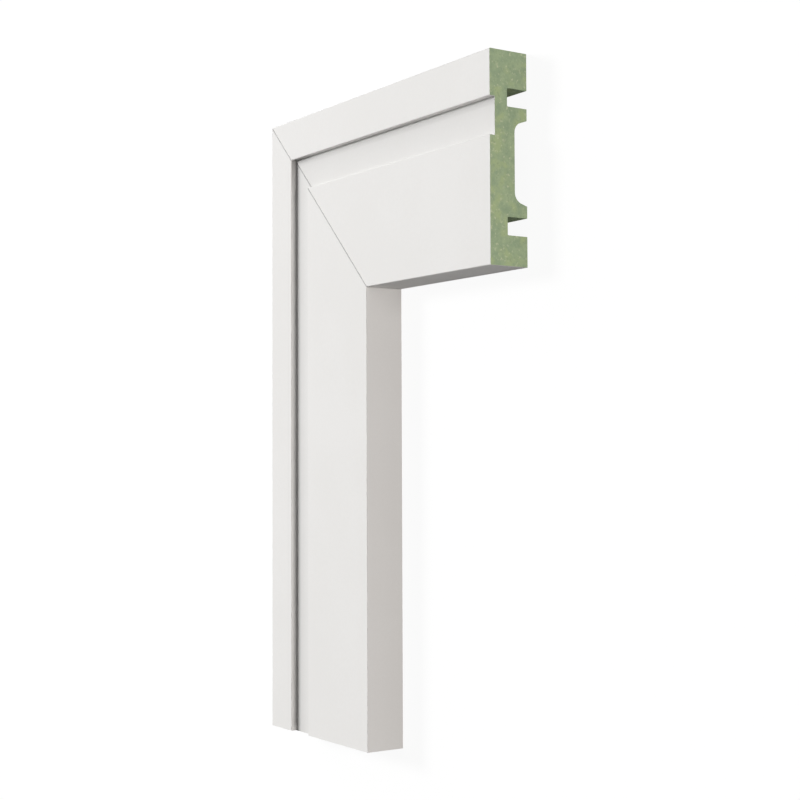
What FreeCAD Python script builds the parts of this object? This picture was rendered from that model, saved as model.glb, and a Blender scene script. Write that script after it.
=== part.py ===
"""Mitred corner of a square-edged architrave moulding, lying on its back.

Two lengths of one moulding meet at a mitre: the head runs along +X and the leg along -Y.
The moulding is moisture resistant fibreboard with a white coat. Its face has a raised band
along the outer edge, a shallow rebate beside it and a broad flat panel. Its back has two
clip slots and a relief that keeps the middle clear of an uneven wall.

Millimetres. +Z is up and out of the face. The origin is under the middle of the corner's
bounding box, on the plane of the back.
"""

import FreeCAD, Part
import math
import os

from FreeCAD import Vector

# Board
face_width = 70.0
thickness = 15.0
arris_radius = 0.3

# Face: raised band at the outer edge, then the rebate, then the panel up to the inner edge
band_width = 15.4
rebate_width = 12.6
rebate_depth = 2.0

# Back: a clip slot near each edge, a narrow land beside each slot, and the relief between
slot_width = 6.0
slot_depth = 8.0
slot_floor_radius = 0.4
outer_slot_inset = 12.2
inner_slot_inset = 10.0
land_width = 3.9
relief_depth = 5.0
relief_draft_degrees = 18.0
relief_floor_radius = 3.5

# Lengths along the outer edge, from the tip of the mitre to the square cut end
head_length = 144.0
leg_length = 236.0

# How far a cutter runs past what it cuts
overrun = 1.0

# The tip of the mitre on the plane of the back
mitre_tip = Vector(-head_length / 2, leg_length / 2, 0)

ORIGIN = Vector(0, 0, 0)
X_AXIS = Vector(1, 0, 0)
Z_AXIS = Vector(0, 0, 1)


def prism(points, run):
    """Solid of a section drawn out along +Z.

    A point of the section is its distance across from the outer edge and its height above
    the back.
    """
    corners = [Vector(across, height, 0) for across, height in points]
    section = Part.Face(Part.makePolygon(corners + corners[:1]))
    return section.extrude(Z_AXIS * run)


def long_edges(solid, across, height):
    """Edges that run the length of a drawn-out solid through one point of its section."""
    found = []
    for edge in solid.Edges:
        middle = edge.CenterOfMass
        runs_long = abs(edge.tangentAt(edge.FirstParameter).dot(Z_AXIS)) > 0.999
        if runs_long and math.hypot(middle.x - across, middle.y - height) < 1e-6:
            found.append(edge)
    return found


def board(run):
    """Plain board before it is machined."""
    return prism([(0, 0), (face_width, 0), (face_width, thickness), (0, thickness)], run)


def rebate(run):
    """Cutter for the shallow step between the band and the panel."""
    panel_start = band_width + rebate_width
    floor = thickness - rebate_depth
    top = thickness + overrun
    return prism([(band_width, floor), (panel_start, floor), (panel_start, top), (band_width, top)], run)


def clip_slot(start, run):
    """Cutter for one square slot in the back, with the corners of its floor eased."""
    end = start + slot_width
    section = [(start, -overrun), (end, -overrun), (end, slot_depth), (start, slot_depth)]
    cutter = prism(section, run)
    floor_edges = long_edges(cutter, start, slot_depth) + long_edges(cutter, end, slot_depth)
    return cutter.makeFillet(slot_floor_radius, floor_edges)


def relief(start, end, run):
    """Cutter for the wide hollow in the back, with drafted sides and a rounded floor."""
    draft = math.tan(math.radians(relief_draft_degrees))
    mouth_flare = overrun * draft
    floor_start = start + relief_depth * draft
    floor_end = end - relief_depth * draft
    section = [
        (start - mouth_flare, -overrun),
        (end + mouth_flare, -overrun),
        (floor_end, relief_depth),
        (floor_start, relief_depth),
    ]
    cutter = prism(section, run)
    floor_edges = long_edges(cutter, floor_start, relief_depth)
    floor_edges += long_edges(cutter, floor_end, relief_depth)
    return cutter.makeFillet(relief_floor_radius, floor_edges)


def moulding(run):
    """Square cut length of the moulding: outer edge at X = 0, face towards +Y, run along +Z."""
    outer_slot = outer_slot_inset
    inner_slot = face_width - inner_slot_inset - slot_width
    relief_start = outer_slot + slot_width + land_width
    relief_end = inner_slot - land_width
    stock = board(run)
    stock = stock.cut(rebate(run))
    stock = stock.cut(clip_slot(outer_slot, run))
    stock = stock.cut(clip_slot(inner_slot, run))
    stock = stock.cut(relief(relief_start, relief_end, run))
    arrises = []
    for across in (0, band_width, band_width + rebate_width, face_width):
        arrises += long_edges(stock, across, thickness)
    return stock.makeFillet(arris_radius, arrises)


def mitre_waste(side_x, side_y):
    """Wedge on one side of the mitre: its square corner lies towards side_x, side_y."""
    reach = face_width + overrun
    start = mitre_tip + Vector(-overrun, overrun, -overrun)
    end = mitre_tip + Vector(reach, -reach, -overrun)
    square_corner = Vector(
        start.x if side_x < 0 else end.x,
        end.y if side_y < 0 else start.y,
        -overrun,
    )
    wedge = Part.Face(Part.makePolygon([start, end, square_corner, start]))
    return wedge.extrude(Z_AXIS * (thickness + 2 * overrun))


def head_moulding():
    """Upper length: outer edge towards +Y, square end towards +X."""
    length = moulding(head_length)
    length.rotate(ORIGIN, X_AXIS, 90)
    length.rotate(ORIGIN, Z_AXIS, -90)
    length.translate(mitre_tip + X_AXIS * head_length)
    return length.cut(mitre_waste(-1, -1))


def leg_moulding():
    """Upright length: outer edge towards -X, square end towards -Y."""
    length = moulding(leg_length)
    length.rotate(ORIGIN, X_AXIS, 90)
    length.translate(mitre_tip)
    return length.cut(mitre_waste(1, 1))


def main():
    os.makedirs("parts", exist_ok=True)
    pieces = {"head_moulding": head_moulding(), "leg_moulding": leg_moulding()}
    for name, piece in pieces.items():
        solid = piece.removeSplitter().Solids[0]
        solid.exportStep("parts/" + name + ".step")
        box = solid.BoundBox
        print(name, "valid", solid.isValid(), "volume", round(solid.Volume, 1), "box", box)


main()
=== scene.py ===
"""Dresses the mitred architrave corner and sets it in a plain studio.

The head and the leg are two lengths of one fibreboard moulding. Each is drawn from the
moulding's section in two layers: the green moisture resistant core, and the thin white coat
on its face and both edges. A length is drawn in its own stock frame, where x is the distance
across from the outer edge, y the height above the back and z the run from the mitre's tip,
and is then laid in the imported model's frame. Sizes are in metres.
"""

import logging
import math
from dataclasses import dataclass, field
from enum import Enum
from functools import partial, reduce

import bmesh
import bpy
from mathutils import Matrix, Vector

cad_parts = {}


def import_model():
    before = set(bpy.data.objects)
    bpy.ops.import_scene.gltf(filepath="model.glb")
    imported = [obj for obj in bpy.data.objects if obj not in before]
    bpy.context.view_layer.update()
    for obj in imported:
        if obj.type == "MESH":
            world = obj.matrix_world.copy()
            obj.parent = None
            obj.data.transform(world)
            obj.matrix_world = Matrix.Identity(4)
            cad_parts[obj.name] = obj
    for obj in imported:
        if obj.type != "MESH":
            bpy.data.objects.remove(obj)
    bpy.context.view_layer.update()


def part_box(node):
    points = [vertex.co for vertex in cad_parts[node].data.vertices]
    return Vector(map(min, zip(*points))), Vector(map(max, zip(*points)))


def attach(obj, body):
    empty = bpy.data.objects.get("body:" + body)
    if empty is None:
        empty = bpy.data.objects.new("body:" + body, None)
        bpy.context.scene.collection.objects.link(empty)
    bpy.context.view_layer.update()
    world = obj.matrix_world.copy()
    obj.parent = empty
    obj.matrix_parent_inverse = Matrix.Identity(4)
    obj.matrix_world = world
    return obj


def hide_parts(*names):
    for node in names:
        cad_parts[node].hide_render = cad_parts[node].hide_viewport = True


LOG = logging.getLogger("architrave_corner")

# Vertex attributes that the finishes read
STOCK = "stock"
SHADE = "rebate_shade"
CREST = "shade_crest"
SAWN = "sawn_end"

# Mark of the faces that are seen from outside, kept while a length is made
OUTSIDE = "outside"

# Places nearer than this are the same place
TOUCH = 1e-7

# A vertex nearer than this to the plane of a cut lies in it
CUT_TOUCH = 1e-6

# Edges that turn by less than this are one straight edge
STRAIGHT = math.radians(1)

# A face whose normal leans further than this towards the run is an end of the length
END_LEAN = 0.5

Colour = tuple[float, float, float]
Place = tuple[float, float, float]
Span = tuple[float, float]
Socket = bpy.types.NodeSocket
Number = Socket | float

BLACK = (0.0, 0.0, 0.0)
WHITE = (1.0, 1.0, 1.0)


class Layer(Enum):
    """Layers of the moulding."""

    CORE = "core"
    COAT = "coat"


class Lie(Enum):
    """How a length lies in the corner: rows that turn the stock frame into the model's."""

    HEAD = ((0, 0, 1), (-1, 0, 0), (0, 1, 0))
    LEG = ((1, 0, 0), (0, 0, -1), (0, 1, 0))


class Blend(Enum):
    """What a mix node mixes: its data type, its two inputs and its output."""

    NUMBERS = ("FLOAT", 2, 3, 0)
    COLOURS = ("RGBA", 6, 7, 2)


def opaque(colour: Colour) -> tuple[float, float, float, float]:
    """Give a colour full alpha."""
    return (*colour, 1.0)


def grey(level: float) -> Colour:
    """Give the grey of one level."""
    return (level, level, level)


def everything(shape: bmesh.types.BMesh) -> list:
    """List all vertices, edges and faces of a shape."""
    return [*shape.verts, *shape.edges, *shape.faces]


def lies_at(vert: bmesh.types.BMVert, point: Vector) -> bool:
    """Tell whether a vertex lies at a point of the section, anywhere along the run."""
    return (vert.co.xy - point).length < TOUCH


def long_edges(shape: bmesh.types.BMesh, across: float, height: float) -> list[bmesh.types.BMEdge]:
    """Find the edges that run lengthwise through one point of the section.

    Args:
        shape: A length that is drawn in the stock frame.
        across: Distance of the point from the outer edge.
        height: Height of the point above the back.

    Returns:
        The edges found.
    """
    point = Vector((across, height))
    return [edge for edge in shape.edges if all(lies_at(vert, point) for vert in edge.verts)]


def ease_edges(
    shape: bmesh.types.BMesh, edges: list[bmesh.types.BMEdge], offset: float, facets: int
) -> list[bmesh.types.BMFace]:
    """Ease edges.

    Args:
        shape: The shape that holds the edges.
        edges: Edges to ease.
        offset: How far the easing reaches along each neighbouring face.
        facets: Facets of the easing.

    Returns:
        The new faces.
    """
    made = bmesh.ops.bevel(
        shape,
        geom=edges,
        offset=offset,
        offset_type="OFFSET",
        segments=facets,
        profile=0.5,
        affect="EDGES",
        material=-1,
    )
    return made["faces"]


def round_edges(
    shape: bmesh.types.BMesh, edges: list[bmesh.types.BMEdge], offset: float, facets: int
) -> None:
    """Ease edges and shade the new faces smooth."""
    for face in ease_edges(shape, edges, offset, facets):
        face.smooth = True


@dataclass(frozen=True)
class Section:
    """Section of the moulding."""

    face_width: float
    thickness: float
    arris_radius: float = 0.0003
    band_width: float = 0.0154
    rebate_width: float = 0.0126
    rebate_depth: float = 0.002
    slot_width: float = 0.006
    slot_depth: float = 0.008
    slot_floor_radius: float = 0.0004
    outer_slot_inset: float = 0.0122
    inner_slot_inset: float = 0.010
    land_width: float = 0.0039
    relief_depth: float = 0.005
    relief_draft: float = math.radians(18)
    relief_floor_radius: float = 0.0035
    coat_thickness: float = 0.0002

    @property
    def panel_start(self) -> float:
        """Where the panel starts, across from the outer edge."""
        return self.band_width + self.rebate_width

    @property
    def rebate_floor(self) -> float:
        """Height of the rebate's floor above the back."""
        return self.thickness - self.rebate_depth

    @property
    def slots(self) -> list[Span]:
        """Start and end of each clip slot.

        Returns:
            The outer slot and the inner one.
        """
        inner = self.face_width - self.inner_slot_inset - self.slot_width
        starts = (self.outer_slot_inset, inner)
        return [(start, start + self.slot_width) for start in starts]

    @property
    def relief(self) -> Span:
        """Start and end of the relief at its mouth."""
        outer, inner = self.slots
        return outer[1] + self.land_width, inner[0] - self.land_width

    @property
    def relief_lean(self) -> float:
        """How far each side of the relief leans inwards over its depth."""
        return self.relief_depth * math.tan(self.relief_draft)

    @property
    def relief_rounding(self) -> float:
        """How far the rounding at each end of the relief's floor reaches along it."""
        return self.relief_floor_radius * math.tan((math.pi / 2 - self.relief_draft) / 2)

    def inside_face(self, across: float, height: float, inset: float) -> bool:
        """Tell whether a point lies under the face and between the edges.

        Args:
            across: Distance of the point from the outer edge.
            height: Height of the point above the back.
            inset: How far the face and the edges are drawn in.

        Returns:
            True for a point inside.
        """
        between_edges = inset < across < self.face_width - inset
        under_face = height < self.thickness - inset
        over_rebate = height > self.rebate_floor - inset
        beside_rebate = self.band_width - inset < across < self.panel_start + inset
        return between_edges and under_face and not (over_rebate and beside_rebate)

    def cut_from_back(self, across: float, height: float) -> bool:
        """Tell whether a point lies in a slot or the relief.

        Args:
            across: Distance of the point from the outer edge.
            height: Height of the point above the back.

        Returns:
            True for a point in one of them. The relief's sides count as upright here.
        """
        start, end = self.relief
        in_relief = start < across < end and height < self.relief_depth
        in_slot = any(a < across < b for a, b in self.slots) and height < self.slot_depth
        return in_relief or in_slot

    def keeps(self, layer: Layer, across: float, height: float) -> bool:
        """Tell whether a layer has material at a point.

        Args:
            layer: The layer.
            across: Distance of the point from the outer edge.
            height: Height of the point above the back.

        Returns:
            True where the layer has material.
        """
        in_core = self.inside_face(across, height, self.coat_thickness)
        if layer is Layer.CORE:
            return in_core and not self.cut_from_back(across, height)
        return self.inside_face(across, height, 0) and not in_core

    def cut_lines(self, layer: Layer) -> tuple[set[float], set[float]]:
        """Find the lines of a layer's outline.

        Args:
            layer: The layer.

        Returns:
            Distances across of the upright lines, and heights of the level ones.
        """
        coat = self.coat_thickness
        across = {coat, self.band_width - coat, self.panel_start + coat, self.face_width - coat}
        height = {self.rebate_floor - coat, self.thickness - coat}
        if layer is Layer.COAT:
            across |= {self.band_width, self.panel_start}
            height |= {self.rebate_floor}
        else:
            for start, end in [*self.slots, self.relief]:
                across |= {start, end}
            height |= {self.slot_depth, self.relief_depth}
        return across, height

    def arrises(self, layer: Layer) -> list[tuple[float, float, float]]:
        """Find the rounded outer corners of a layer.

        Args:
            layer: The layer. The coat is rounded on its outer and on its inner side.

        Returns:
            Distance across, height and radius of each corner.
        """
        edges = ((0, 1), (self.band_width, -1), (self.panel_start, 1), (self.face_width, -1))
        insets = (self.coat_thickness,) if layer is Layer.CORE else (0.0, self.coat_thickness)
        return [
            (at + inward * inset, self.thickness - inset, self.arris_radius - inset)
            for inset in insets
            for at, inward in edges
        ]

    def relief_floor_corners(self) -> list[Span]:
        """Find the ends of the relief's floor before they are rounded.

        Returns:
            Distance across and height of each end.
        """
        start, end = self.relief
        floor_ends = (start + self.relief_lean, end - self.relief_lean)
        return [(across, self.relief_depth) for across in floor_ends]

    def draw(self, layer: Layer) -> bmesh.types.BMesh:
        """Draw a layer's section as one face.

        Args:
            layer: The layer.

        Returns:
            The flat shape, with the relief's sides already drafted.
        """
        shape = bmesh.new()
        # A square of side 1 from the outer edge and the back is scaled to the board
        bmesh.ops.create_grid(shape, x_segments=1, y_segments=1, size=0.5)
        bmesh.ops.translate(shape, vec=(0.5, 0.5, 0), verts=shape.verts)
        bmesh.ops.scale(shape, vec=(self.face_width, self.thickness, 1), verts=shape.verts)
        for axis, lines in enumerate(self.cut_lines(layer)):
            normal = Vector((1 - axis, axis, 0))
            for line in sorted(lines):
                bmesh.ops.bisect_plane(
                    shape,
                    geom=everything(shape),
                    dist=TOUCH,
                    plane_co=normal * line,
                    plane_no=normal,
                )
        waste = [
            face
            for face in shape.faces
            if not self.keeps(layer, *face.calc_center_median().xy)
        ]
        bmesh.ops.delete(shape, geom=waste, context="FACES")
        bmesh.ops.dissolve_limit(shape, angle_limit=STRAIGHT, verts=shape.verts, edges=shape.edges)
        if layer is Layer.CORE:
            self.draft_relief(shape)
        return shape

    def draft_relief(self, shape: bmesh.types.BMesh) -> None:
        """Lean the relief's sides by moving the ends of its floor inwards.

        Args:
            shape: The core's section.
        """
        for mouth, inwards in zip(self.relief, (self.relief_lean, -self.relief_lean)):
            corner = Vector((mouth, self.relief_depth))
            for vert in shape.verts:
                if lies_at(vert, corner):
                    vert.co.x += inwards


@dataclass(frozen=True)
class RebateShade:
    """Painted shade on the floor of a length's rebate, in shares of black.

    The near share is strongest at the crest, which lies beside the band's wall. The wide
    share falls off from that wall to the panel's, and the even share covers the floor.
    """

    near: float
    wide: float
    even: float
    crest: float

    @property
    def shares(self) -> tuple[float, float, float]:
        """Shares in the order that the coat reads them."""
        return self.near, self.wide, self.even


@dataclass
class MouldingLength:
    """One length of the moulding: mitred at its tip and cut square at its far end.

    The coat stops short of the mitre by a gap, and its outer rims are eased at both ends.
    """

    name: str
    node: str
    section: Section
    lie: Lie
    tip: Vector
    run: float
    shade: RebateShade
    mitre_ease: float = 0.00019
    mitre_gap: float = 0.00006
    cut_ease: float = 0.00006
    overrun: float = 0.001
    ease_facets: int = 2
    arris_facets: int = 6
    slot_floor_facets: int = 4
    relief_floor_facets: int = 12

    def draw_out(self, layer: Layer) -> bmesh.types.BMesh:
        """Draw a layer out along its run, from just before the mitre's tip.

        Args:
            layer: The layer.

        Returns:
            A closed shape in the stock frame, with square corners.
        """
        shape = self.section.draw(layer)
        bmesh.ops.translate(shape, vec=(0, 0, -self.overrun), verts=shape.verts)
        drawn = bmesh.ops.extrude_face_region(shape, geom=shape.faces[:])
        moved = [part for part in drawn["geom"] if isinstance(part, bmesh.types.BMVert)]
        bmesh.ops.translate(shape, vec=(0, 0, self.run + self.overrun), verts=moved)
        bmesh.ops.recalc_face_normals(shape, faces=shape.faces)
        return shape

    def mark_outside(self, shape: bmesh.types.BMesh) -> None:
        """Mark the long faces that are seen from outside.

        Args:
            shape: A layer that is drawn out in the stock frame.
        """
        mark = shape.faces.layers.int.new(OUTSIDE)
        half_coat = self.section.coat_thickness / 2
        for face in shape.faces:
            across, height, _ = face.calc_center_median()
            is_long = abs(face.normal.z) < END_LEAN
            face[mark] = int(is_long and not self.section.inside_face(across, height, half_coat))

    def round_section(self, shape: bmesh.types.BMesh, layer: Layer) -> None:
        """Round the arrises, and the floors of the slots and of the relief.

        Args:
            shape: The layer, drawn out in the stock frame.
            layer: Which layer it is. Only the core has slots and a relief.
        """
        section = self.section
        for across, height, radius in section.arrises(layer):
            round_edges(shape, long_edges(shape, across, height), radius, self.arris_facets)
        if layer is Layer.COAT:
            return
        for across in [line for slot in section.slots for line in slot]:
            floor_edges = long_edges(shape, across, section.slot_depth)
            round_edges(shape, floor_edges, section.slot_floor_radius, self.slot_floor_facets)
        for across, height in section.relief_floor_corners():
            floor_edges = long_edges(shape, across, height)
            round_edges(shape, floor_edges, section.relief_rounding, self.relief_floor_facets)

    def cut_mitre(self, shape: bmesh.types.BMesh, gap: float) -> None:
        """Cut the mitre and close the cut.

        Args:
            shape: A layer that is drawn out in the stock frame.
            gap: How far the cut stays short of the mitre's plane.
        """
        normal = Vector((1, 0, -1)).normalized()
        cut = bmesh.ops.bisect_plane(
            shape,
            geom=everything(shape),
            dist=TOUCH,
            plane_co=normal * -gap,
            plane_no=normal,
            clear_outer=True,
        )
        rim = [part for part in cut["geom_cut"] if isinstance(part, bmesh.types.BMEdge)]
        bmesh.ops.contextual_create(shape, geom=rim)

    def at_mitre(self, vert: bmesh.types.BMVert) -> bool:
        """Tell whether a vertex of the coat lies in its cut at the mitre."""
        return vert.co.z - vert.co.x < self.mitre_gap * math.sqrt(2) + CUT_TOUCH

    def at_square_end(self, vert: bmesh.types.BMVert) -> bool:
        """Tell whether a vertex lies in the plane of the square end."""
        return abs(vert.co.z - self.run) < CUT_TOUCH

    def ease_ends(self, shape: bmesh.types.BMesh) -> None:
        """Ease the coat's outer edges at the mitre and at the square end.

        Args:
            shape: The coat, cut at the mitre.
        """
        mark = shape.faces.layers.int[OUTSIDE]
        for at_end, ease in ((self.at_mitre, self.mitre_ease), (self.at_square_end, self.cut_ease)):
            rim = [
                edge
                for edge in shape.edges
                if all(at_end(vert) for vert in edge.verts)
                and any(face[mark] for face in edge.link_faces)
            ]
            ease_edges(shape, rim, ease, self.ease_facets)

    def lay(self, shape: bmesh.types.BMesh) -> None:
        """Keep what the finishes read as attributes, then lay the shape in the model's frame.

        Args:
            shape: A finished layer in the stock frame.
        """
        layers = shape.verts.layers
        stock = layers.float_vector.new(STOCK)
        shade = layers.float_vector.new(SHADE)
        crest = layers.float.new(CREST)
        sawn = layers.float.new(SAWN)
        for vert in shape.verts:
            vert[stock] = vert.co
            vert[shade] = self.shade.shares
            vert[crest] = self.shade.crest
            vert[sawn] = float(self.at_square_end(vert))
        turn = Matrix(self.lie.value).to_4x4()
        bmesh.ops.transform(shape, matrix=Matrix.Translation(self.tip) @ turn, verts=shape.verts)
        bmesh.ops.recalc_face_normals(shape, faces=shape.faces)

    def build(self, layer: Layer, material: bpy.types.Material) -> bpy.types.Object:
        """Build one layer as a finished piece.

        Args:
            layer: The layer.
            material: Its finish.

        Returns:
            The piece, which rides on the corner's body.
        """
        shape = self.draw_out(layer)
        self.mark_outside(shape)
        self.round_section(shape, layer)
        self.cut_mitre(shape, self.mitre_gap if layer is Layer.COAT else 0.0)
        if layer is Layer.COAT:
            self.ease_ends(shape)
        self.lay(shape)
        open_edges = sum(1 for edge in shape.edges if len(edge.link_faces) != 2)
        mesh = bpy.data.meshes.new(f"{self.name}_{layer.value}")
        shape.to_mesh(mesh)
        shape.free()
        mesh.materials.append(material)
        piece = bpy.data.objects.new(mesh.name, mesh)
        bpy.context.scene.collection.objects.link(piece)
        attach(piece, "root")
        LOG.info("%s: %d faces, %d open edges", piece.name, len(mesh.polygons), open_edges)
        return piece


class Wiring:
    """Adds nodes to a shader tree and joins them."""

    def __init__(self, tree: bpy.types.NodeTree) -> None:
        """Start with an empty tree."""
        self.tree = tree
        tree.nodes.clear()

    def add(
        self, kind: str, values: dict[str | int, object] | None = None, **settings: object
    ) -> bpy.types.Node:
        """Add a node.

        Args:
            kind: The node's type.
            values: Inputs by name or index, each a value or a socket to join.
            settings: The node's own settings.

        Returns:
            The node.
        """
        node = self.tree.nodes.new(kind)
        for name, value in settings.items():
            setattr(node, name, value)
        for name, value in (values or {}).items():
            if isinstance(value, Socket):
                self.tree.links.new(value, node.inputs[name])
            else:
                node.inputs[name].default_value = value
        return node

    def attribute(self, name: str, output: str) -> Socket:
        """Read a vertex attribute."""
        return self.add("ShaderNodeAttribute", attribute_name=name).outputs[output]

    def split(self, vector: Socket) -> tuple[Socket, ...]:
        """Split a vector into its three numbers."""
        return tuple(self.add("ShaderNodeSeparateXYZ", {"Vector": vector}).outputs)

    def maths(self, operation: str, *numbers: Number) -> Socket:
        """Work out one operation on numbers."""
        return self.add("ShaderNodeMath", dict(enumerate(numbers)), operation=operation).outputs[0]

    def chain(self, operation: str, *numbers: Number) -> Socket:
        """Work out one operation on any count of numbers, two by two from the first on."""
        return reduce(partial(self.maths, operation), numbers)

    def swing(self, mask: Socket, middle: float, width: float) -> Socket:
        """Let a number swing about a middle with a mask."""
        return self.maths("MULTIPLY_ADD", mask, width, middle - width / 2)

    def stretch(self, value: Number, start: Number, end: Number, low: float, high: float) -> Socket:
        """Stretch the range from start to end evenly over the one from low to high.

        Args:
            value: The number to read.
            start: Where the range that is read starts.
            end: Where it ends.
            low: Result at and before the start.
            high: Result at and after the end.

        Returns:
            The result.
        """
        node = self.add(
            "ShaderNodeMapRange",
            {"Value": value, "From Min": start, "From Max": end, "To Min": low, "To Max": high},
        )
        return node.outputs["Result"]

    def fade(self, value: Number, start: Number, end: Number) -> Socket:
        """Make a mask that falls evenly from 1 at the start to 0 at the end."""
        return self.stretch(value, start, end, 1.0, 0.0)

    def soften(self, value: Socket, turn: Span) -> Socket:
        """Make a mask that rises smoothly from 0 to 1 over a span.

        Args:
            value: The number to read.
            turn: Where the rise starts and ends.

        Returns:
            The mask.
        """
        node = self.add(
            "ShaderNodeMapRange",
            {"Value": value, "From Min": turn[0], "From Max": turn[1]},
            interpolation_type="SMOOTHSTEP",
        )
        return node.outputs["Result"]

    def noise(
        self, vector: Socket, scale: Number, detail: float = 2.0, roughness: float = 0.5
    ) -> Socket:
        """Read a noise texture.

        Args:
            vector: Where to read it.
            scale: Its scale.
            detail: Octaves of finer noise in it.
            roughness: Share of each finer octave.

        Returns:
            Its value, about one half.
        """
        node = self.add(
            "ShaderNodeTexNoise",
            {"Vector": vector, "Scale": scale, "Detail": detail, "Roughness": roughness},
        )
        return node.outputs["Fac"]

    def mix(self, blend: Blend, factor: Number, first: object, second: object) -> Socket:
        """Mix two numbers or two colours.

        Args:
            blend: Which of them to mix.
            factor: Share of the second.
            first: The first, a value or a socket.
            second: The second, a value or a socket.

        Returns:
            The mixture.
        """
        data_type, first_input, second_input, output = blend.value
        values = {0: factor, first_input: first, second_input: second}
        return self.add("ShaderNodeMix", values, data_type=data_type).outputs[output]

    def tint(self, colour: Socket, mask: Socket, over: Colour) -> Socket:
        """Lay another colour over a colour by a mask."""
        return self.mix(Blend.COLOURS, mask, colour, opaque(over))

    def seen_rays(self) -> Socket:
        """Mask the rays by which the camera sees: straight, mirrored and passed through.

        Returns:
            The mask.
        """
        path = self.add("ShaderNodeLightPath")
        rays = [path.outputs[f"Is {kind} Ray"] for kind in ("Camera", "Glossy", "Transmission")]
        return self.chain("MAXIMUM", *rays)

    def surface(self, colour: Socket, roughness: Socket, normal: Socket, gloss: float) -> None:
        """End a material in a Principled shader.

        Args:
            colour: The surface's colour.
            roughness: Its roughness.
            normal: Its normal, with the bump.
            gloss: Its specular level.
        """
        shader = self.add(
            "ShaderNodeBsdfPrincipled",
            {
                "Base Color": colour,
                "Roughness": roughness,
                "Normal": normal,
                "Specular IOR Level": gloss,
            },
        )
        self.add("ShaderNodeOutputMaterial", {"Surface": shader.outputs["BSDF"]})


def new_group(name: str, inputs: list[str], output: str) -> tuple[Wiring, dict[str, Socket], Socket]:
    """Start a shader node group that reads a vector and numbers, and puts out one number.

    Args:
        name: The group's name.
        inputs: Names of the numbers that it reads.
        output: Name of the number that it puts out.

    Returns:
        The wiring, the sockets to read by name and the socket to join the result to.
    """
    tree = bpy.data.node_groups.new(name, "ShaderNodeTree")
    tree.interface.new_socket("Vector", in_out="INPUT", socket_type="NodeSocketVector")
    for label in inputs:
        tree.interface.new_socket(label, in_out="INPUT", socket_type="NodeSocketFloat")
    tree.interface.new_socket(output, in_out="OUTPUT", socket_type="NodeSocketFloat")
    wiring = Wiring(tree)
    source = wiring.add("NodeGroupInput")
    given = {label: source.outputs[label] for label in ("Vector", *inputs)}
    result = wiring.add("NodeGroupOutput").inputs[output]
    return wiring, given, result


@dataclass(frozen=True)
class Clouds:
    """Slow and fine unevenness of tone, and the span over which one tone turns to the other."""

    broad_scale: float
    fine_scale: float
    fine_share: float
    turn: Span


@dataclass(frozen=True)
class Skin:
    """Relief of a surface: fine pits over a soft ripple, and how strongly the light shows it."""

    ripple_scale: float
    ripple_height: float
    pit_scale: float
    pit_height: float
    strength: float = 1.0


@dataclass
class SharedEffects:
    """Shader node groups that more than one finish uses."""

    cloud: bpy.types.NodeTree = field(init=False)
    relief: bpy.types.NodeTree = field(init=False)

    def __post_init__(self) -> None:
        """Build each group once."""
        self.cloud = self.build_cloud()
        self.relief = self.build_relief()

    @staticmethod
    def build_cloud() -> bpy.types.NodeTree:
        """Build the group for uneven tone.

        Returns:
            The group, which puts out a mask about one half.
        """
        labels = ["Broad Scale", "Fine Scale", "Fine Share"]
        wiring, given, result = new_group("tone_clouds", labels, "Mask")
        broad = wiring.noise(given["Vector"], given["Broad Scale"])
        fine = wiring.noise(given["Vector"], given["Fine Scale"], detail=3.0)
        mask = wiring.mix(Blend.NUMBERS, given["Fine Share"], broad, fine)
        wiring.tree.links.new(mask, result)
        return wiring.tree

    @staticmethod
    def build_relief() -> bpy.types.NodeTree:
        """Build the group for a surface's skin.

        Returns:
            The group, which puts out the skin's height.
        """
        labels = ["Ripple Scale", "Ripple Height", "Pit Scale", "Pit Height"]
        wiring, given, result = new_group("skin_relief", labels, "Height")
        heights = [
            wiring.maths(
                "MULTIPLY",
                wiring.noise(given["Vector"], given[f"{form} Scale"]),
                given[f"{form} Height"],
            )
            for form in ("Ripple", "Pit")
        ]
        wiring.tree.links.new(wiring.maths("ADD", *heights), result)
        return wiring.tree

    def add_clouds(self, wiring: Wiring, vector: Socket, clouds: Clouds) -> Socket:
        """Place uneven tone in a material.

        Args:
            wiring: The material's wiring.
            vector: Where to read the tone.
            clouds: Its values.

        Returns:
            The mask.
        """
        group = wiring.add(
            "ShaderNodeGroup",
            {
                "Vector": vector,
                "Broad Scale": clouds.broad_scale,
                "Fine Scale": clouds.fine_scale,
                "Fine Share": clouds.fine_share,
            },
            node_tree=self.cloud,
        )
        return group.outputs["Mask"]

    def add_skin(self, wiring: Wiring, vector: Socket, skin: Skin) -> Socket:
        """Place a skin's relief in a material.

        Args:
            wiring: The material's wiring.
            vector: Where to read the relief.
            skin: Its values.

        Returns:
            The bumped normal.
        """
        group = wiring.add(
            "ShaderNodeGroup",
            {
                "Vector": vector,
                "Ripple Scale": skin.ripple_scale,
                "Ripple Height": skin.ripple_height,
                "Pit Scale": skin.pit_scale,
                "Pit Height": skin.pit_height,
            },
            node_tree=self.relief,
        )
        height = group.outputs["Height"]
        values = {"Height": height, "Distance": 1.0, "Strength": skin.strength}
        return wiring.add("ShaderNodeBump", values).outputs["Normal"]


def start_material(name: str) -> tuple[bpy.types.Material, Wiring]:
    """Make a material with an empty node tree.

    Args:
        name: The material's name.

    Returns:
        The material and its wiring.
    """
    material = bpy.data.materials.new(name)
    material.use_nodes = True
    return material, Wiring(material.node_tree)


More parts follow.
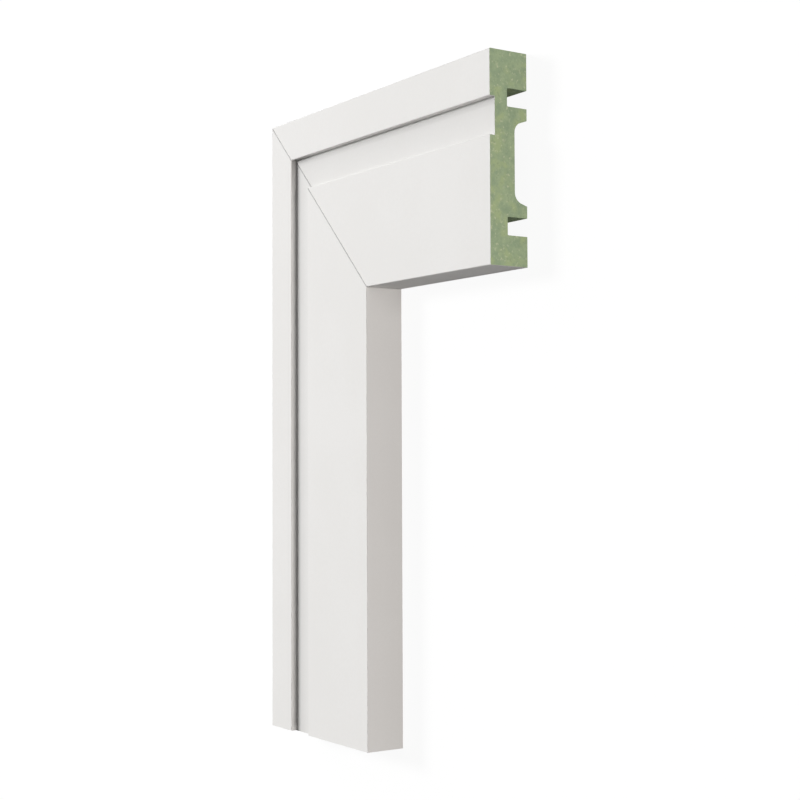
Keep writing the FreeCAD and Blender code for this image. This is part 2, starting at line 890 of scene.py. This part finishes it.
@dataclass(frozen=True)
class WhiteCoat:
    """Sprayed white coat: satin, with the faint ripple of a factory finish.

    Faint shade is painted on the rebate's floor and walls, in its inner corner at the mitre
    and in the mitre's hairline, in shares of black. The wall skin and the floor skin are how
    far off a wall or the floor a place still counts as theirs. The coat's sawn edge carries
    saw dust.
    """

    section: Section
    effects: SharedEffects
    light: Colour = (0.796, 0.787, 0.773)
    shade: Colour = (0.776, 0.766, 0.750)
    clouds: Clouds = Clouds(broad_scale=22.0, fine_scale=900.0, fine_share=0.3, turn=(0.35, 0.65))
    skin: Skin = Skin(ripple_scale=550.0, ripple_height=3e-6, pit_scale=4000.0, pit_height=6e-7)
    roughness: float = 0.62
    roughness_swing: float = 0.12
    gloss: float = 0.05
    wall_skin: float = 0.00005
    floor_skin: float = 0.00002
    band_wall_shade: float = 0.0
    panel_wall_shade: float = 0.15
    crest_fall: float = 0.0018
    wide_curve: float = 1.5
    corner_shade: float = 0.5
    corner_width: float = 0.002
    corner_reach: float = 0.018
    joint_shade: float = 0.115
    joint_reach: Span = (0.0002, 0.0006)
    saw_dust: Colour = (0.365, 0.455, 0.282)

    def inside_rebate(self, wiring: Wiring, across: Socket, height: Socket) -> Socket:
        """Mask the rebate's floor and walls.

        Args:
            wiring: The material's wiring.
            across: Distance from the outer edge.
            height: Height above the back.

        Returns:
            The mask. It ends where the arrises' rounding starts.
        """
        start, end = self.section.band_width, self.section.panel_start
        wall_top = self.section.thickness - self.section.arris_radius
        past_band = wiring.maths("GREATER_THAN", across, start - self.wall_skin)
        before_panel = wiring.maths("LESS_THAN", across, end + self.wall_skin)
        below_face = wiring.maths("LESS_THAN", height, wall_top)
        return wiring.chain("MULTIPLY", past_band, before_panel, below_face)

    def shade_on_floor(self, wiring: Wiring, across: Socket) -> Socket:
        """Mask the faint shade on the rebate's floor, whose shares come from the length.

        Args:
            wiring: The material's wiring.
            across: Distance from the outer edge.

        Returns:
            The mask: a near share beside the band's wall, a wide one and an even one.
        """
        start, end = self.section.band_width, self.section.panel_start
        near_share, wide_share, even_share = wiring.split(wiring.attribute(SHADE, "Vector"))
        crest = wiring.maths("ADD", wiring.attribute(CREST, "Fac"), start)
        end_of_fall = wiring.maths("ADD", crest, self.crest_fall)
        rise = wiring.maths("SUBTRACT", 1.0, wiring.fade(across, start, crest))
        fall = wiring.fade(across, crest, end_of_fall)
        curve = wiring.maths("POWER", wiring.fade(across, start, end), self.wide_curve)
        near = wiring.chain("MULTIPLY", rise, fall, near_share)
        wide = wiring.maths("MULTIPLY", curve, wide_share)
        return wiring.chain("ADD", near, wide, even_share)

    def shade_in_rebate(self, wiring: Wiring, across: Socket, height: Socket) -> Socket:
        """Mask the faint shade on the rebate's floor and walls.

        Args:
            wiring: The material's wiring.
            across: Distance from the outer edge.
            height: Height above the back.

        Returns:
            The mask.
        """
        start, end = self.section.band_width, self.section.panel_start
        floor_top = self.section.rebate_floor + self.floor_skin
        above_floor = wiring.maths("GREATER_THAN", height, floor_top)
        on_floor = self.shade_on_floor(wiring, across)
        on_walls = wiring.stretch(across, start, end, self.band_wall_shade, self.panel_wall_shade)
        return wiring.mix(Blend.NUMBERS, above_floor, on_floor, on_walls)

    def shade_in_corner(self, wiring: Wiring, across: Socket, run: Socket) -> Socket:
        """Mask the shade in the inner corner where the two band walls meet.

        Args:
            wiring: The material's wiring.
            across: Distance from the outer edge.
            run: Distance along the run from the mitre's tip.

        Returns:
            The mask.
        """
        start = self.section.band_width
        beside_wall = wiring.fade(across, start, start + self.corner_width)
        beside_mitre = wiring.fade(run, start, start + self.corner_reach)
        return wiring.chain("MULTIPLY", beside_wall, beside_mitre, self.corner_shade)

    def dust_and_shade_in_joint(self, wiring: Wiring, across: Socket, run: Socket) -> Socket:
        """Mask the dust, glue and painted shade in the mitre's hairline."""
        from_mitre = wiring.maths("SUBTRACT", run, across)
        return wiring.maths("MULTIPLY", wiring.fade(from_mitre, *self.joint_reach), self.joint_shade)

    def material(self) -> bpy.types.Material:
        """Build the finish.

        Returns:
            The material.
        """
        material, wiring = start_material("white_coat")
        stock = wiring.attribute(STOCK, "Vector")
        across, height, run = wiring.split(stock)
        cloud = self.effects.add_clouds(wiring, stock, self.clouds)
        tone = wiring.soften(cloud, self.clouds.turn)
        colour = wiring.mix(Blend.COLOURS, tone, opaque(self.shade), opaque(self.light))
        inside = self.inside_rebate(wiring, across, height)
        sunk = wiring.maths("MULTIPLY", self.shade_in_rebate(wiring, across, height), inside)
        # Painted shade in the rebate, plus dust with painted shade in the mitre's hairline
        dim = wiring.maths("ADD", sunk, self.dust_and_shade_in_joint(wiring, across, run))
        cornered = wiring.maths("MULTIPLY", self.shade_in_corner(wiring, across, run), inside)
        colour = wiring.tint(colour, dim, BLACK)
        colour = wiring.tint(colour, cornered, BLACK)
        colour = wiring.tint(colour, wiring.attribute(SAWN, "Fac"), self.saw_dust)
        rough = wiring.swing(cloud, self.roughness, self.roughness_swing)
        normal = self.effects.add_skin(wiring, stock, self.skin)
        wiring.surface(colour, rough, normal, self.gloss)
        return material


@dataclass(frozen=True)
class Fibres:
    """Fibres of one colour in the raw board, laid over the colours before them."""

    colour: Colour
    scale: float
    turn: Span
    share: float = 1.0
    detail: float = 2.0
    roughness: float = 0.5


@dataclass(frozen=True)
class GreenCore:
    """Raw moisture resistant fibreboard: green and flecked with fibres, with glue in the mitre."""

    effects: SharedEffects
    body: Colour = (0.400, 0.496, 0.302)
    deep: Colour = (0.306, 0.400, 0.256)
    clouds: Clouds = Clouds(broad_scale=330.0, fine_scale=1100.0, fine_share=0.40, turn=(0.34, 0.66))
    warm: Fibres = Fibres((0.412, 0.503, 0.276), scale=210.0, turn=(0.48, 0.68))
    pale: Fibres = Fibres(
        (0.560, 0.610, 0.400), scale=800.0, turn=(0.56, 0.74), share=0.85, roughness=0.6
    )
    dark: Fibres = Fibres(
        (0.250, 0.330, 0.215), scale=1100.0, turn=(0.57, 0.72), share=0.45, detail=1.0
    )
    skin: Skin = Skin(
        ripple_scale=1500.0, ripple_height=4e-5, pit_scale=5000.0, pit_height=2e-5, strength=0.7
    )
    roughness: float = 0.875
    roughness_swing: float = 0.15
    gloss: float = 0.2
    glue: Colour = (0.430, 0.425, 0.415)
    glue_reach: float = 0.0003

    def material(self) -> bpy.types.Material:
        """Build the finish.

        Returns:
            The material.
        """
        material, wiring = start_material("green_core")
        stock = wiring.attribute(STOCK, "Vector")
        across, _, run = wiring.split(stock)
        cloud = self.effects.add_clouds(wiring, stock, self.clouds)
        tone = wiring.soften(cloud, self.clouds.turn)
        colour = wiring.mix(Blend.COLOURS, tone, opaque(self.deep), opaque(self.body))
        for fibres in (self.warm, self.pale, self.dark):
            noise = wiring.noise(stock, fibres.scale, fibres.detail, fibres.roughness)
            mask = wiring.maths("MULTIPLY", wiring.soften(noise, fibres.turn), fibres.share)
            colour = wiring.tint(colour, mask, fibres.colour)
        from_mitre = wiring.maths("SUBTRACT", run, across)
        in_joint = wiring.maths("LESS_THAN", from_mitre, self.glue_reach)
        colour = wiring.tint(colour, in_joint, self.glue)
        rough = wiring.swing(cloud, self.roughness, self.roughness_swing)
        normal = self.effects.add_skin(wiring, stock, self.skin)
        wiring.surface(colour, rough, normal, self.gloss)
        return material


@dataclass(frozen=True)
class PaleFloor:
    """Plain pale floor: white to the camera, with the object's shadow kept faint.

    The bounce is how much light it throws back on the object. The camera sees its own light
    and the small share of the lamps' light that a shadow takes away.
    """

    half_size: float = 3.0
    squares: int = 8
    bounce: float = 0.20
    paper_scale: float = 140.0
    paper_detail: float = 3.0
    paper_turn: Span = (0.3, 0.7)
    paper_depth: float = 0.98
    own_light: float = 0.933
    shadow_share: float = 0.072

    def material(self) -> bpy.types.Material:
        """Build the finish.

        Returns:
            The material.
        """
        material, wiring = start_material("pale_floor")
        spot = wiring.add("ShaderNodeTexCoord").outputs["Object"]
        noise = wiring.noise(spot, self.paper_scale, self.paper_detail)
        paper = wiring.soften(noise, self.paper_turn)
        hollow = opaque(grey(self.bounce * self.paper_depth))
        sheet = wiring.mix(Blend.COLOURS, paper, hollow, opaque(grey(self.bounce)))
        matt = wiring.add("ShaderNodeBsdfDiffuse", {"Color": sheet})
        shadowed = wiring.add("ShaderNodeBsdfDiffuse", {"Color": opaque(grey(self.shadow_share))})
        glow = wiring.add("ShaderNodeEmission", {"Strength": self.own_light})
        white = wiring.add("ShaderNodeAddShader", {0: shadowed.outputs[0], 1: glow.outputs[0]})
        surface = wiring.add(
            "ShaderNodeMixShader", {0: wiring.seen_rays(), 1: matt.outputs[0], 2: white.outputs[0]}
        )
        wiring.add("ShaderNodeOutputMaterial", {"Surface": surface.outputs[0]})
        return material

    def build(self) -> bpy.types.Object:
        """Lay the floor under the corner.

        Returns:
            The floor.
        """
        shape = bmesh.new()
        bmesh.ops.create_grid(
            shape, x_segments=self.squares, y_segments=self.squares, size=self.half_size
        )
        mesh = bpy.data.meshes.new("floor")
        shape.to_mesh(mesh)
        shape.free()
        mesh.materials.append(self.material())
        floor = bpy.data.objects.new("floor", mesh)
        bpy.context.scene.collection.objects.link(floor)
        return floor


@dataclass(frozen=True)
class Softbox:
    """Rectangular studio lamp that is aimed at the corner, with its power in watts."""

    name: str
    place: Place
    aim: Place
    width: float
    height: float
    power: float
    colour: Colour = WHITE

    def build(self) -> bpy.types.Object:
        """Hang the lamp.

        Returns:
            The lamp.
        """
        data = bpy.data.lights.new(self.name, "AREA")
        data.color = self.colour
        data.shape = "RECTANGLE"
        data.size = self.width
        data.size_y = self.height
        data.energy = self.power
        lamp = bpy.data.objects.new(self.name, data)
        lamp.location = self.place
        aim = Vector(self.aim) - Vector(self.place)
        lamp.rotation_euler = aim.to_track_quat("-Z", "Y").to_euler()
        bpy.context.scene.collection.objects.link(lamp)
        return lamp


@dataclass(frozen=True)
class Studio:
    """Plain soft light: a key lamp, two low lamps and an even surround."""

    surround: float = 0.172
    key: Softbox = Softbox(
        "key_softbox",
        place=(-3.23, 1.175, 3.205),
        aim=(0, 0, 0),
        width=1.05,
        height=1.22,
        power=234,
    )
    low: Softbox = Softbox(
        "low_softbox",
        place=(-5.09, 4.28, 2.20),
        aim=(0, 0, 0.01),
        width=4.6,
        height=1.96,
        power=124,
    )
    side: Softbox = Softbox(
        "side_softbox",
        place=(1.10, -0.10, 0.105),
        aim=(0, -0.02, 0.01),
        width=0.60,
        height=0.19,
        power=7.15,
        colour=(1.0, 0.96, 0.93),
    )

    def build(self) -> None:
        """Make the world and the lamps."""
        world = bpy.data.worlds.new("surround")
        bpy.context.scene.world = world
        world.use_nodes = True
        wiring = Wiring(world.node_tree)
        colour = opaque(WHITE)
        white = wiring.add("ShaderNodeBackground", {"Color": colour, "Strength": 1.0})
        fill = wiring.add("ShaderNodeBackground", {"Color": colour, "Strength": self.surround})
        mixed = wiring.add(
            "ShaderNodeMixShader", {0: wiring.seen_rays(), 1: fill.outputs[0], 2: white.outputs[0]}
        )
        wiring.add("ShaderNodeOutputWorld", {"Surface": mixed.outputs[0]})
        for lamp in (self.key, self.low, self.side):
            lamp.build()


@dataclass(frozen=True)
class Viewpoint:
    """Camera of the photograph, with the object's face laid up."""

    place: Place = (0.46553, -0.01406, 0.31121)
    turn: float = math.radians(-56.414)
    tilt: float = math.radians(2.206)
    roll: float = math.radians(-0.208)
    lens: float = 69.622
    sensor: float = 36.0
    clip: Span = (0.01, 50.0)

    def build(self) -> bpy.types.Object:
        """Set up the camera.

        Returns:
            The camera. Its picture's upright is the object's +Y.
        """
        upright = Vector((0, 1, 0))
        ahead = Vector(
            (
                math.sin(self.turn) * math.cos(self.tilt),
                math.sin(self.tilt),
                -math.cos(self.turn) * math.cos(self.tilt),
            )
        )
        right = ahead.cross(upright).normalized()
        up = right.cross(ahead)
        pose = Matrix((right, up, -ahead)).transposed() @ Matrix.Rotation(self.roll, 3, "Z")
        data = bpy.data.cameras.new("camera")
        data.lens = self.lens
        data.sensor_width = self.sensor
        data.clip_start, data.clip_end = self.clip
        camera = bpy.data.objects.new("camera", data)
        camera.matrix_world = Matrix.Translation(self.place) @ pose.to_4x4()
        bpy.context.scene.collection.objects.link(camera)
        bpy.context.scene.camera = camera
        return camera


@dataclass
class ArchitraveCorner:
    """The whole corner: a head and a leg of one moulding."""

    head_shade: RebateShade = RebateShade(near=0.18, wide=0.07, even=0.04, crest=0.001)
    leg_shade: RebateShade = RebateShade(near=0.30, wide=0.19, even=0.0, crest=0.002)
    section: Section = field(init=False)
    lengths: list[MouldingLength] = field(init=False)

    def __post_init__(self) -> None:
        """Take the corner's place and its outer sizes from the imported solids."""
        head_low, head_high = map(Vector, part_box("head_moulding"))
        leg_low, leg_high = map(Vector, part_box("leg_moulding"))
        head_run = head_high.x - head_low.x
        leg_run = leg_high.y - leg_low.y
        section = Section(head_high.y - head_low.y, head_high.z - head_low.z)
        tip = Vector((head_low.x, head_high.y, head_low.z))
        self.section = section
        self.lengths = [
            MouldingLength("head", "head_moulding", section, Lie.HEAD, tip, head_run, self.head_shade),
            MouldingLength("leg", "leg_moulding", section, Lie.LEG, tip, leg_run, self.leg_shade),
        ]

    def build(self, coat_finish: bpy.types.Material, core_finish: bpy.types.Material) -> None:
        """Build both layers of both lengths in place of their solids.

        Args:
            coat_finish: Finish of the coat.
            core_finish: Finish of the core.
        """
        for length in self.lengths:
            core = length.build(Layer.CORE, core_finish)
            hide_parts(length.node)
            coat = length.build(Layer.COAT, coat_finish)
            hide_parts(length.node)


def main() -> None:
    """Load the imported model, dress it and set the studio."""
    logging.basicConfig(level=logging.INFO, format="%(name)s: %(message)s")
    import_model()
    bpy.context.scene.view_settings.view_transform = "Standard"
    effects = SharedEffects()
    corner = ArchitraveCorner()
    corner.build(WhiteCoat(corner.section, effects).material(), GreenCore(effects).material())
    PaleFloor().build()
    Studio().build()
    Viewpoint().build()


if __name__ == "__main__":
    main()
